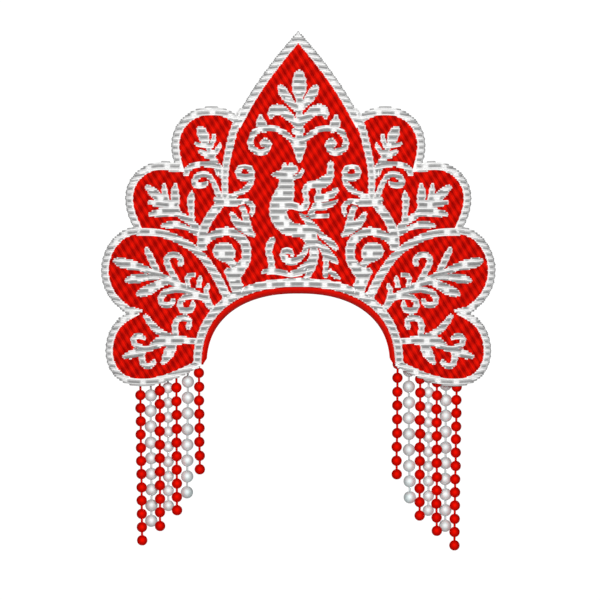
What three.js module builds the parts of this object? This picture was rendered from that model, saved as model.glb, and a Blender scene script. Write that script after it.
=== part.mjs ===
// Kokoshnik headdress: a stiff scalloped crest of red cloth that stands on the head like a halo.
// A padded white border is sewn round its whole edge, four white ribs divide its petals, a padded red
// band lines the arch that sits on the head, and strings of beads hang behind both lower petals.
//
// Units are millimetres. +X runs across the face, +Y goes back from it and +Z goes up.
// The origin is the top of the hollow that the head fills, in the middle of the crest's thickness.

import * as THREE from 'three';

// Driving dimensions

const GAP = 0.3;                  // clearance between neighbouring pieces
const BOW_RADIUS = 440;           // seen from above, the crest is bent round the head on this radius
const PANEL_THICKNESS = 3;        // stiffened cloth
const PANEL_ROWS = 3;             // facets from the arch out to the scallops
const BORDER_RISE = 1.3;          // the border stands this far in front of the panel
const BORDER_SHOULDER = 1.6;      // its front edges are rounded off by this much
const ARCH_BORDER_WIDTH = 6.8;
const ARCH_FACETS = 20;           // the border's and the band's alike
const FOOT_CLIP = 1.2;            // length of the clipped corner at each foot of the panel
const RIB_WIDTH = 6.2;
const RIB_CROWN_WIDTH = 3.4;
const RIB_HEIGHT = 1.1;
const RIB_FACETS = 8;
const TIP = [0, 210];             // x and z of the crest's tip

// The arch's edge and the hollow under the band are superellipses on a level springing line.
const ARCH = { halfWidth: 77.4, rise: 62.4, spring: -57, squareness: 2.35 };
const HOLLOW = { halfWidth: 73.4, rise: 58, spring: -58, squareness: 2.3 };

// The band is deepest over the crown and narrows to a tip at each ear.
const BAND_FRONT = -1.7;          // its front edge, measured from the middle of the panel
const BAND_CROWN_DEPTH = 28;
const BAND_END_DEPTH = 3.2;
const BAND_ROUNDING = 0.28;       // share of the wall that its front edge is rounded by

// Scallops of the right half, from the tip down to the foot of the arch. Each row is one Bezier curve in
// x and z: the point where it ends, its leaving and arriving handles, its border's width, its facets,
// and how far round the half arch (0 at the crown, 1 at the foot) the panel's last column there leads.
const SCALLOPS = [
  { end: [48.6, 142], leave: [17.4, 191], arrive: [37.4, 165], border: 6.6, facets: 6, archShare: 0.2 },
  { end: [99.6, 105], leave: [70, 161], arrive: [112, 144], border: 6.4, facets: 8, archShare: 0.36 },
  { end: [132.6, 53.3], leave: [124, 111], arrive: [152, 90], border: 6.2, facets: 8, archShare: 0.52 },
  { end: [138.2, -15.9], leave: [158, 50], arrive: [173.5, 6], border: 6.1, facets: 9, archShare: 0.74 },
  { end: [125.9, -74.3], leave: [162, -27], arrive: [163.5, -75], border: 5.9, facets: 9, archShare: 0.92 },
  { end: [77.4, -58], leave: [110, -74.3], arrive: [92, -66], border: 5.8, facets: 5, archShare: 1 },
];

// Ribs of the right half, as points in x and z that a smooth curve passes through.
const RIBS = [
  { name: 'centre_rib', points: [[51.8, 131], [57.1, 109], [58.7, 92], [58.6, 78]] },
  { name: 'petal_rib', points: [[119.5, 49.5], [102.4, 46.3], [80.4, 33.7], [68.4, 18.9], [60.6, 5]] },
];

// Beads by kind. The pearls hang in a second row, behind the red beads.
const BEADS = {
  red: { diameter: 8.5, row: 0, threadRadius: 0.7 },
  largePearl: { diameter: 10, row: 7.8, threadRadius: 0.6 },
  smallPearl: { diameter: 9, row: 7.8, threadRadius: 0.6 },
};
const BEAD_SIDES = 10;
const THREAD_SIDES = 5;
const BEAD_WAIST = 0.42;          // a bead's two full rings lie this share of its radius off the middle
const SEAM_RISE = 7;              // threads reach the panel's back this far above its lower edge
const SEAM_RUN = 4;               // and at least this far above their first bead
const SEAM_LENGTH = 5;            // length of thread sewn flat against the back

// Strings of one side, from the outside in: x from the middle, bead kind, pitch, count and lowest bead.
const STRINGS = [
  { x: 126.5, kind: 'red', pitch: 10.62, count: 12, lowest: -198.4 },
  { x: 118.7, kind: 'largePearl', pitch: 12.66, count: 9, lowest: -183.2 },
  { x: 111.3, kind: 'red', pitch: 10.86, count: 11, lowest: -186.6 },
  { x: 104.8, kind: 'smallPearl', pitch: 11.88, count: 9, lowest: -170.7 },
  { x: 97.7, kind: 'red', pitch: 10.96, count: 10, lowest: -174.3 },
  { x: 89.2, kind: 'largePearl', pitch: 12.74, count: 8, lowest: -159.9 },
  { x: 79.4, kind: 'red', pitch: 11.06, count: 8, lowest: -141.1 },
];

// The right strings start one bead higher, behind the border, and hang a little lower.
const SIDES = [
  { name: 'left', sign: -1, extraBeads: 0, drop: 0 },
  { name: 'right', sign: 1, extraBeads: 1, drop: 4 },
];

// Shapes in the plane of the face

// Distance that the bent crest lies back from its middle line, at x.
function bow(x) {
  return BOW_RADIUS - Math.sqrt(BOW_RADIUS * BOW_RADIUS - x * x);
}

// Lengthens a distance measured square to the bent crest into one measured along Y.
function alongY(distance, x) {
  const slope = x / Math.sqrt(BOW_RADIUS * BOW_RADIUS - x * x);
  return distance * Math.hypot(1, slope);
}

// Point of a superellipse, with the turn running from 0 at the right foot to pi at the left foot.
function archPoint(arch, turn) {
  const power = 2 / arch.squareness;
  const across = Math.cos(turn);
  const x = arch.halfWidth * Math.sign(across) * Math.abs(across) ** power;
  const z = arch.spring + arch.rise * Math.abs(Math.sin(turn)) ** power;
  return new THREE.Vector2(x, z);
}

// Point of a superellipse moved outwards, square to the curve.
function archOffset(arch, turn, distance) {
  const step = 1e-3;
  const along = archPoint(arch, turn + step).sub(archPoint(arch, turn - step)).normalize();
  return archPoint(arch, turn).add(new THREE.Vector2(along.y, -along.x).multiplyScalar(distance));
}

// Right half of the scalloped edge from the tip to the foot, with the border's width at each point.
function scallopedHalf() {
  const points = [];
  const widths = [];
  let start = new THREE.Vector2(...TIP);
  for (const { end, leave, arrive, border, facets } of SCALLOPS) {
    const finish = new THREE.Vector2(...end);
    const handles = [new THREE.Vector2(...leave), new THREE.Vector2(...arrive)];
    const curve = new THREE.CubicBezierCurve(start, ...handles, finish);
    for (let i = 0; i < facets; i++) {
      points.push(curve.getPoint(i / facets));
      widths.push(border);
    }
    start = finish;
  }
  points.push(start);
  widths.push(SCALLOPS.at(-1).border);
  return { points, widths };
}

// Whole edge of the crest, clockwise as seen from the front: right half, arch, left half.
function crestEdge() {
  const half = scallopedHalf();
  const points = [...half.points];
  const widths = [...half.widths];
  for (let i = 1; i < ARCH_FACETS; i++) {
    points.push(archPoint(ARCH, Math.PI * i / ARCH_FACETS));
    widths.push(ARCH_BORDER_WIDTH);
  }
  for (let i = half.points.length - 1; i > 0; i--) {
    points.push(new THREE.Vector2(-half.points[i].x, half.points[i].y));
    widths.push(half.widths[i]);
  }
  return { points, widths, halfCount: half.points.length };
}

// Edge moved inwards by each point's own width, with mitred corners.
function insetEdge(points, widths) {
  return points.map((point, i) => {
    const before = points[(i + points.length - 1) % points.length];
    const after = points[(i + 1) % points.length];
    const into = point.clone().sub(before).normalize();
    const out = after.clone().sub(point).normalize();
    const inward = new THREE.Vector2(into.y + out.y, -into.x - out.x).normalize();
    const squareness = inward.dot(new THREE.Vector2(into.y, -into.x));
    return point.clone().add(inward.multiplyScalar(widths[i] / squareness));
  });
}

// Solids

// Closed solid through a row of rings. Neighbouring rings have as many points, or one has twice as many.
// A looped row joins its last ring to its first, and any other row is capped at both ends.
function loft(rings, looped = false) {
  const positions = [];
  const starts = [];
  for (const ring of rings) {
    starts.push(positions.length / 3);
    for (const p of ring) positions.push(p.x, p.y, p.z);
  }
  const index = [];
  const joins = looped ? rings.length : rings.length - 1;
  for (let r = 0; r < joins; r++) {
    const next = (r + 1) % rings.length;
    const [fine, coarse] = rings[r].length >= rings[next].length ? [r, next] : [next, r];
    stitch(index, starts[fine], rings[fine].length, starts[coarse], rings[coarse].length, fine === r);
  }
  if (!looped) {
    cap(index, starts[0], rings[0].length, true);
    cap(index, starts.at(-1), rings.at(-1).length, false);
  }
  const geometry = new THREE.BufferGeometry();
  geometry.setAttribute('position', new THREE.Float32BufferAttribute(positions, 3));
  geometry.setIndex(volume(positions, index) < 0 ? index.reverse() : index);
  geometry.computeVertexNormals();
  return geometry;
}

// Triangles between two rings, where the fine ring has one or two points for each of the coarse ring's.
function stitch(index, fineStart, fineCount, coarseStart, coarseCount, fineFirst) {
  const ratio = fineCount / coarseCount;
  const add = (a, b, c) => index.push(...(fineFirst ? [a, b, c] : [a, c, b]));
  for (let i = 0; i < fineCount; i++) {
    const here = fineStart + i;
    const ahead = fineStart + (i + 1) % fineCount;
    const nearest = coarseStart + Math.floor(i / ratio);
    add(here, ahead, nearest);
    if ((i + 1) % ratio === 0) {
      const following = coarseStart + Math.floor(((i + 1) % fineCount) / ratio);
      add(ahead, following, nearest);
    }
  }
}

// Flat fan over a ring, wound to close the first or the last end of a loft.
function cap(index, start, count, first) {
  for (let i = 1; i < count - 1; i++) {
    const [b, c] = first ? [start + i + 1, start + i] : [start + i, start + i + 1];
    index.push(start, b, c);
  }
}

// Signed volume of a closed triangle mesh, which is negative when its faces point inwards.
function volume(positions, index) {
  const corner = (i) => new THREE.Vector3().fromArray(positions, 3 * index[i]);
  let sum = 0;
  for (let i = 0; i < index.length; i += 3) sum += corner(i).dot(corner(i + 1).cross(corner(i + 2))) / 6;
  return sum;
}

// A point of the face, set back on the bent crest by a depth measured from the panel's middle.
function onCrest(point, depth) {
  return new THREE.Vector3(point.x, bow(point.x) + depth, point.y);
}

// Pieces

// The red panel fills the border: columns lead from the arch to the scallops, and rows cross them.
function crestPanel(edge) {
  const inset = insetEdge(edge.points, edge.widths.map((width) => width + GAP));
  const scallops = inset.slice(0, edge.halfCount);
  const footTurn = archFootTurn(scallops.at(-1).y + FOOT_CLIP);
  const columns = [];
  let shareBefore = 0;
  let station = 0;
  for (const { facets, archShare } of SCALLOPS) {
    for (let i = 0; i < facets; i++) {
      columns.push([station, shareBefore + (archShare - shareBefore) * i / facets]);
      station += 1;
    }
    shareBefore = archShare;
  }
  columns.push([station, 1]);
  const rightHalf = columns.map(([i, share]) => {
    const turn = Math.PI / 2 - share * (Math.PI / 2 - footTurn);
    return panelColumn(archOffset(ARCH, turn, ARCH_BORDER_WIDTH + GAP), scallops[i]);
  });
  const leftHalf = rightHalf.slice(1).reverse().map((ring) => ring.map(mirrored));
  return loft([...leftHalf, ...rightHalf]);
}

// Turn at which the panel's arch edge stands at a height, found by halving.
function archFootTurn(height) {
  let low = 0;
  let high = Math.PI / 4;
  while (high - low > 1e-6) {
    const middle = (low + high) / 2;
    if (archOffset(ARCH, middle + 2e-3, ARCH_BORDER_WIDTH + GAP).y < height) low = middle;
    else high = middle;
  }
  return high + 2e-3;
}

// Ring of the panel's section along one column: up the front and down the back.
function panelColumn(archEnd, scallopEnd) {
  const front = [];
  const back = [];
  for (let row = 0; row <= PANEL_ROWS; row++) {
    const point = archEnd.clone().lerp(scallopEnd, row / PANEL_ROWS);
    front.push(onCrest(point, -PANEL_THICKNESS / 2));
    back.unshift(onCrest(point, PANEL_THICKNESS / 2));
  }
  return [...front, ...back];
}

function mirrored(point) {
  return new THREE.Vector3(-point.x, point.y, point.z);
}

// The padded border runs round the whole edge: flush with the panel's back, proud of its front.
function borderRoll(edge) {
  const inner = insetEdge(edge.points, edge.widths);
  const back = PANEL_THICKNESS / 2;
  const front = -PANEL_THICKNESS / 2 - BORDER_RISE;
  const rings = edge.points.map((outer, i) => {
    const shoulder = BORDER_SHOULDER / outer.distanceTo(inner[i]);
    return [
      onCrest(outer, back),
      onCrest(outer, front + BORDER_RISE),
      onCrest(outer.clone().lerp(inner[i], shoulder), front),
      onCrest(inner[i].clone().lerp(outer, shoulder), front),
      onCrest(inner[i], front + BORDER_RISE / 2),
      onCrest(inner[i], back),
    ];
  });
  return loft(rings, true);
}

// A rib is a low padded strip that lies on the panel's front.
function rib(points, sign) {
  const curve = new THREE.SplineCurve(points.map(([x, z]) => new THREE.Vector2(sign * x, z)));
  const foot = -PANEL_THICKNESS / 2 - GAP;
  const rings = [];
  for (let i = 0; i <= RIB_FACETS; i++) {
    const middle = curve.getPoint(i / RIB_FACETS);
    const along = curve.getTangent(i / RIB_FACETS);
    const across = new THREE.Vector2(along.y, -along.x);
    const at = (offset, depth) => onCrest(middle.clone().addScaledVector(across, offset), depth);
    rings.push([
      at(-RIB_WIDTH / 2, foot),
      at(-RIB_CROWN_WIDTH / 2, foot - RIB_HEIGHT),
      at(RIB_CROWN_WIDTH / 2, foot - RIB_HEIGHT),
      at(RIB_WIDTH / 2, foot),
    ]);
  }
  return loft(rings);
}

// The padded band fills the space between the arch and the hollow, and reaches back over the head.
function headBand() {
  const rings = [];
  for (let i = 0; i <= ARCH_FACETS; i++) {
    const turn = Math.PI * i / ARCH_FACETS;
    const outer = archOffset(ARCH, clampTurn(turn), -GAP);
    const inner = archPoint(HOLLOW, turn);
    const depth = BAND_END_DEPTH + (BAND_CROWN_DEPTH - BAND_END_DEPTH) * Math.sin(turn) ** 2;
    const near = BAND_FRONT;
    const far = near + depth;
    const round = BAND_ROUNDING * outer.distanceTo(inner);
    const at = (share, y) => onCrest(outer.clone().lerp(inner, share), y);
    rings.push([
      at(0, near + round),
      at(BAND_ROUNDING, near),
      at(1 - BAND_ROUNDING, near),
      at(1, near + round),
      at(1, far),
      at(0, far),
    ]);
  }
  return loft(rings);
}

// Keeps a turn just inside the arch's feet, where the curve has a direction on both sides.
function clampTurn(turn) {
  const margin = 2e-3;
  return Math.min(Math.max(turn, margin), Math.PI - margin);
}

// Lowest height of the crest's edge at x.
function lowerEdge(edge, x) {
  const heights = edge.points.map((a, i) => {
    const b = edge.points[(i + 1) % edge.points.length];
    if ((a.x - x) * (b.x - x) > 0) return Infinity;
    return THREE.MathUtils.mapLinear(x, a.x, b.x, a.y, b.y);
  });
  return Math.min(...heights);
}

// A string is one fused solid: beads on a thread whose top is sewn flat against the panel's back.
function beadString(edge, { x, kind, pitch, count, lowest }, { sign, extraBeads, drop }) {
  const { diameter, row, threadRadius } = BEADS[kind];
  const radius = diameter / 2;
  const back = bow(x) + alongY(PANEL_THICKNESS / 2 + GAP, x);
  const hang = back + alongY(radius, x) + row;
  const seam = back + alongY(threadRadius, x);
  const beads = count + extraBeads;
  const bottom = lowest - drop;
  const topOfBeads = bottom + (beads - 1) * pitch + radius;
  const seamFoot = Math.max(lowerEdge(edge, x) + SEAM_RISE, topOfBeads + SEAM_RUN);
  const ring = (y, z, r, sides) => Array.from({ length: sides }, (_, i) => {
    const angle = 2 * Math.PI * i / sides;
    return new THREE.Vector3(sign * x + r * Math.cos(angle), y + r * Math.sin(angle), z);
  });
  const rings = [];
  for (let i = 0; i < beads; i++) {
    const middle = bottom + i * pitch;
    rings.push(ring(hang, middle - radius, threadRadius, THREAD_SIDES));
    rings.push(ring(hang, middle - BEAD_WAIST * radius, radius, BEAD_SIDES));
    rings.push(ring(hang, middle + BEAD_WAIST * radius, radius, BEAD_SIDES));
    rings.push(ring(hang, middle + radius, threadRadius, THREAD_SIDES));
  }
  rings.push(ring(seam, seamFoot, threadRadius, THREAD_SIDES));
  rings.push(ring(seam, seamFoot + SEAM_LENGTH, threadRadius, THREAD_SIDES));
  return loft(rings);
}

// Materials

const redCloth = new THREE.MeshStandardMaterial({ color: 0xd81405, roughness: 0.75 });
const whiteThread = new THREE.MeshStandardMaterial({ color: 0xe6e6e4, roughness: 0.5 });
const redSatin = new THREE.MeshStandardMaterial({ color: 0xcf1204, roughness: 0.45 });
const redBead = new THREE.MeshStandardMaterial({ color: 0xcc0a02, roughness: 0.25 });
const pearl = new THREE.MeshStandardMaterial({ color: 0xe3e3e1, roughness: 0.25 });

// Assembly

const kokoshnik = new THREE.Group();

function addPiece(name, geometry, material) {
  const mesh = new THREE.Mesh(geometry, material);
  mesh.name = name;
  kokoshnik.add(mesh);
}

const edge = crestEdge();
addPiece('crest_panel', crestPanel(edge), redCloth);
addPiece('border_roll', borderRoll(edge), whiteThread);
addPiece('head_band', headBand(), redSatin);
for (const side of SIDES) {
  for (const { name, points } of RIBS) addPiece(`${name}_${side.name}`, rib(points, side.sign), whiteThread);
  STRINGS.forEach((string, i) => {
    const material = string.kind === 'red' ? redBead : pearl;
    addPiece(`bead_string_${side.name}_${i + 1}`, beadString(edge, string, side), material);
  });
}

export default kokoshnik;
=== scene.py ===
import bpy
import numpy as np
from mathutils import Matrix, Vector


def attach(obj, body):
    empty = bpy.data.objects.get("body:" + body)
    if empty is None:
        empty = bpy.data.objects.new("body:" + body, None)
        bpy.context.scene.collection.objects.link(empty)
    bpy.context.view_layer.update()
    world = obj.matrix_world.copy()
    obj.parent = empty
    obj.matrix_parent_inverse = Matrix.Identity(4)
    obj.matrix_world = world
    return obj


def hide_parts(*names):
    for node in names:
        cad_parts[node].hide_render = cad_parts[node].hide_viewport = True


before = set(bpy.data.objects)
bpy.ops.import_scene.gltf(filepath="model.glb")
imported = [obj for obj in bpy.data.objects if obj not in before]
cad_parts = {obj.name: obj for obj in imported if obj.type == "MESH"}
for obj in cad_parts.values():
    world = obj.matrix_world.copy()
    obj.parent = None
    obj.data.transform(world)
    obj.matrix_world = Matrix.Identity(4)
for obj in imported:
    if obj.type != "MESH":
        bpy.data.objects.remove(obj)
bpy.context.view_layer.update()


# Crest panel
# A sheet of stiffened cloth 3 mm thick, cut to scallops round a pointed tip and bent round the head.
# Its back stays plain woven red cloth, and its front is stitched over.

MM = 0.001                       # sizes here are millimetres, and Blender's unit is the metre
BOW_RADIUS = 440                 # seen from above, the crest is bent on this radius
PANEL_HALF = 1.5                 # half the panel's thickness
PANEL_ROWS = 20                  # points from the arch out to the rim
SCALLOP_STEPS = 28               # points along each scallop
ARCH_STEPS = 120                 # points along the arch
ARCH_BORDER = 6.8                # width of the border along the arch
TUCK = 0.8                       # what lies under a neighbour's edge runs on below it by this much
FOOT_SHARE = 0.95                # past this share of the half edge, the rim is held at its foot
FOOT_CLIP = 1.2                  # the panel's arch ends this far above the rim's foot
NUDGE = 1e-3                     # small turn that gives the arch's direction
QUARTER_STEPS = 400              # fine steps up the half arch, to find a height on it
TIP = (0, 210)

# Scallops of the right half from the tip down. Each row is one Bezier curve in x and z: its two handles
# and its end, then the border's width and how far round the half arch the panel's last column leads.
SCALLOPS = (
    ((17.4, 191), (37.4, 165), (48.6, 142), 6.6, 0.20),
    ((70, 161), (112, 144), (99.6, 105), 6.4, 0.36),
    ((124, 111), (152, 90), (132.6, 53.3), 6.2, 0.52),
    ((158, 50), (173.5, 6), (138.2, -15.9), 6.1, 0.74),
    ((162, -27), (163.5, -75), (125.9, -74.3), 5.9, 0.92),
    ((110, -74.3), (92, -66), (77.4, -58), 5.8, 1.00),
)

# The arch's edge is a superellipse on a level springing line.
ARCH = {"half_width": 77.4, "rise": 62.4, "spring": -57, "squareness": 2.35}


def bow(x):
    """Set-back of the bent crest at x: the rise of a circle of BOW_RADIUS above its lowest point."""
    return BOW_RADIUS - np.sqrt(BOW_RADIUS**2 - x**2)


def on_crest(x, height, z):
    """Points that stand at a height in front of the middle of the bent panel."""
    return np.stack(np.broadcast_arrays(x, bow(x) - height, z), -1)


def arch_point(arch, turn):
    """Superellipse: cosine and sine of the turn raised to 2 over the squareness, then stretched."""
    power = 2 / arch["squareness"]
    across, up = np.cos(turn), np.abs(np.sin(turn))
    x = arch["half_width"] * np.sign(across) * np.abs(across) ** power
    return np.stack([x, arch["spring"] + arch["rise"] * up**power], -1)


def arch_offset(arch, turn, distance):
    """Superellipse moved outwards, square to the curve, with the turn kept just inside its feet."""
    turn = np.clip(turn, 2 * NUDGE, np.pi - 2 * NUDGE)
    along = arch_point(arch, turn + NUDGE) - arch_point(arch, turn - NUDGE)
    along /= np.linalg.norm(along, axis=-1, keepdims=True)
    return arch_point(arch, turn) + distance * np.stack([along[..., 1], -along[..., 0]], -1)


def scalloped_half():
    """Right half of the edge from tip to foot: cubic Bezier curves end to end, with widths and shares."""
    t = (np.arange(SCALLOP_STEPS) / SCALLOP_STEPS)[:, None]
    basis = np.hstack([(1 - t) ** 3, 3 * t * (1 - t) ** 2, 3 * t**2 * (1 - t), t**3])
    starts = [TIP, *(row[2] for row in SCALLOPS[:-1])]
    curves = [basis @ np.array([start, *row[:3]]) for start, row in zip(starts, SCALLOPS)]
    shares_before = [0, *(row[4] for row in SCALLOPS[:-1])]
    shares = [b + (row[4] - b) * t[:, 0] for b, row in zip(shares_before, SCALLOPS)]
    widths = np.repeat([row[3] for row in SCALLOPS], SCALLOP_STEPS)
    points = np.vstack([*curves, SCALLOPS[-1][2]])
    return points, np.append(widths, SCALLOPS[-1][3]), np.append(np.concatenate(shares), 1)


def inset(points, widths):
    """Closed outline moved inwards by each point's own width, with mitred corners."""
    into = points - np.roll(points, 1, 0)
    into /= np.linalg.norm(into, axis=1, keepdims=True)
    out = np.roll(into, -1, 0)
    inward = np.stack([into[:, 1] + out[:, 1], -into[:, 0] - out[:, 0]], -1)
    inward /= np.linalg.norm(inward, axis=1, keepdims=True)
    squareness = inward[:, 0] * into[:, 1] - inward[:, 1] * into[:, 0]
    return points + inward * (widths / squareness)[:, None]


MIRROR = np.array([-1, 1])
half_edge, half_width, half_share = scalloped_half()
arch_turns = np.pi * np.arange(1, ARCH_STEPS) / ARCH_STEPS
edge = np.vstack([half_edge, arch_point(ARCH, arch_turns), half_edge[:0:-1] * MIRROR])
edge_width = np.concatenate([half_width, np.full(ARCH_STEPS - 1, ARCH_BORDER), half_width[:0:-1]])


def grid_faces(rows, columns, wrap_columns=False):
    """Quads of a grid of points numbered row by row, each row closed on itself if columns wrap."""
    row, column = np.meshgrid(np.arange(rows - 1), np.arange(columns - (not wrap_columns)), indexing="ij")
    right = (column + 1) % columns
    corners = [row * columns + column, row * columns + right]
    corners += [(row + 1) * columns + right, (row + 1) * columns + column]
    return np.stack(corners, -1).reshape(-1, 4)


def tube_faces(rings, ring_size):
    """Quads of a closed tube: a grid of rings, with quads side by side across both end rings."""
    rung = np.arange(ring_size // 2 - 1)
    cap = np.stack([rung, rung + 1, ring_size - 2 - rung, ring_size - 1 - rung], -1)
    sides = grid_faces(rings, ring_size, wrap_columns=True)
    return np.vstack([sides, cap[:, ::-1], cap + ring_size * (rings - 1)])


def add_piece(name, material, parts):
    """One object from parts, each a tuple of points, quads, and a tone and a corner UV map or None."""
    points = np.concatenate([part[0].reshape(-1, 3) for part in parts]) * MM
    starts = np.cumsum([0, *(part[0].size // 3 for part in parts)])
    quads = np.concatenate([part[1] + start for part, start in zip(parts, starts)])
    mesh = bpy.data.meshes.new(name)
    mesh.vertices.add(len(points))
    mesh.vertices.foreach_set("co", points.ravel())
    mesh.loops.add(quads.size)
    mesh.loops.foreach_set("vertex_index", quads.ravel().astype(np.int32))
    mesh.polygons.add(len(quads))
    mesh.polygons.foreach_set("loop_start", np.arange(0, quads.size, 4, dtype=np.int32))
    mesh.update(calc_edges=True)
    mesh.shade_smooth()
    if parts[0][2] is not None:
        tone = np.concatenate([part[2].ravel() for part in parts])
        mesh.attributes.new("tone", "FLOAT", "POINT").data.foreach_set("value", tone.astype(np.float32))
    if parts[0][3] is not None:
        corner_uv = np.concatenate([part[3].reshape(-1, 2) for part in parts])
        mesh.uv_layers.new(name="thread").data.foreach_set("uv", corner_uv.astype(np.float32).ravel())
    mesh.materials.append(material)
    piece = bpy.data.objects.new(name, mesh)
    bpy.context.scene.collection.objects.link(piece)
    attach(piece, "root")
    return piece


def add_node(tree, kind, inputs=None, **settings):
    """A shader node with its settings, and with each named input set to a value or linked to a socket."""
    node = tree.nodes.new("ShaderNode" + kind)
    for key, value in settings.items():
        setattr(node, key, value)
    for key, value in (inputs or {}).items():
        if isinstance(value, bpy.types.NodeSocket):
            tree.links.new(value, node.inputs[key])
        else:
            node.inputs[key].default_value = value
    return node


def new_material(name, **constants):
    """A material whose Principled shader has these constant inputs, given with _ for a space."""
    material = bpy.data.materials.new(name)
    material.use_nodes = True
    shader = material.node_tree.nodes["Principled BSDF"]
    for key, value in constants.items():
        shader.inputs[key.replace("_", " ")].default_value = value
    return material, material.node_tree, shader


def maths(tree, operation, *values, clamp=False):
    """What a Math node makes of values or sockets."""
    return add_node(tree, "Math", dict(enumerate(values)), operation=operation, use_clamp=clamp).outputs[0]


def clouds(tree, place, scale, detail):
    """Cloudy noise from 0 to 1, with so many clouds to the unit of its place."""
    return add_node(tree, "TexNoise", {"Vector": place, "Scale": scale, "Detail": detail}).outputs["Fac"]


def colour_by(tree, shader, share, shade, light):
    """Base colour between a shade and a light by a share from 0 to 1."""
    mix = add_node(tree, "Mix", {0: share, 6: (*shade, 1), 7: (*light, 1)}, data_type="RGBA")
    tree.links.new(mix.outputs[2], shader.inputs["Base Color"])


def relief(tree, shader, height, strength, distance):
    """Fine relief: a bump of a height, whose full step is a distance in metres."""
    bump = add_node(tree, "Bump", {"Strength": strength, "Distance": distance, "Height": height})
    tree.links.new(bump.outputs[0], shader.inputs["Normal"])


def woven_cloth(name, shade, light, threads_per_metre, roughness):
    """Plain weave: warp and weft sine waves, over and under by turns, drive the colour and the relief."""
    material, tree, shader = new_material(
        name, Roughness=roughness, Specular_IOR_Level=0.15, Sheen_Weight=0.12, Sheen_Roughness=0.5,
        Sheen_Tint=(1, 0.1, 0.05, 1))
    place = add_node(tree, "TexCoord").outputs["Object"]
    axes = add_node(tree, "SeparateXYZ", {0: place}).outputs
    turns = np.pi * threads_per_metre
    warp, weft = (maths(tree, "SINE", maths(tree, "MULTIPLY", axes[axis], turns)) for axis in ("X", "Z"))
    level = maths(tree, "MULTIPLY_ADD", maths(tree, "MULTIPLY", warp, weft), 0.5, 0.5)
    blend = maths(tree, "MULTIPLY_ADD", level, 0.6, clouds(tree, place, scale=45, detail=3))
    colour_by(tree, shader, maths(tree, "SUBTRACT", blend, 0.3, clamp=True), shade, light)
    relief(tree, shader, level, strength=0.5, distance=0.0002)
    return material


red_cloth = woven_cloth("red_cloth", shade=(0.42, 0.004, 0.002), light=(0.78, 0.012, 0.004),
                        threads_per_metre=900, roughness=0.8)

# The rim stops where it would cross the mirror line at the tip or run past its foot, and doubled points go.
panel_rim = inset(edge, edge_width - TUCK)[: len(half_edge)]
panel_rim = np.where(panel_rim[:, :1] < 0, panel_rim[0], panel_rim)
foot = panel_rim[-1]
past_foot = (half_share > FOOT_SHARE) & (panel_rim[:, 0] < foot[0])
panel_rim = np.where(past_foot[:, None], foot, panel_rim)
apart = np.append(True, np.any(np.diff(panel_rim, axis=0) != 0, axis=1))
panel_rim, rim_share = panel_rim[apart], half_share[apart]
rim_share[-1] = 1

# Each column runs from the arch out to the rim, and the last one from where the arch meets the clipped foot.
turns = np.linspace(0, np.pi / 2, QUARTER_STEPS)
foot_turn = np.interp(foot[1] + FOOT_CLIP, arch_offset(ARCH, turns, ARCH_BORDER - TUCK)[:, 1], turns)
panel_arch = arch_offset(ARCH, np.pi / 2 - rim_share * (np.pi / 2 - foot_turn), ARCH_BORDER - TUCK)
rows = np.linspace(0, 1, PANEL_ROWS)[:, None]
columns = panel_arch[:, None] + (panel_rim - panel_arch)[:, None] * rows
columns = np.concatenate([columns[:0:-1] * MIRROR, columns])
front = on_crest(columns[..., 0], PANEL_HALF, columns[..., 1])
back = on_crest(columns[..., 0], -PANEL_HALF, columns[..., 1])
panel_rings = np.concatenate([front, back[:, ::-1]], 1)
panel_quads = tube_faces(len(panel_rings), 2 * PANEL_ROWS)[:, ::-1]
panel = add_piece("panel_cloth", red_cloth, [(panel_rings, panel_quads, None, None)])
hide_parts("crest_panel")


# Embroidery chart
# The pattern is drawn on the cloth before any stitch is laid: palmette, bird, scrolls and leaf sprays.
# It is drawn on squares of 0.8 mm, counted across from the left and down, with the crown of the arch at
# square 298.3, 293.6. Each stroke is a row of points, each with the stroke's width there.

SQUARE = 0.8
CROWN_SQUARE = np.array([298.3, 293.6])
STROKE_STEPS = 6                 # smooth steps from one charted point to the next

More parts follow.
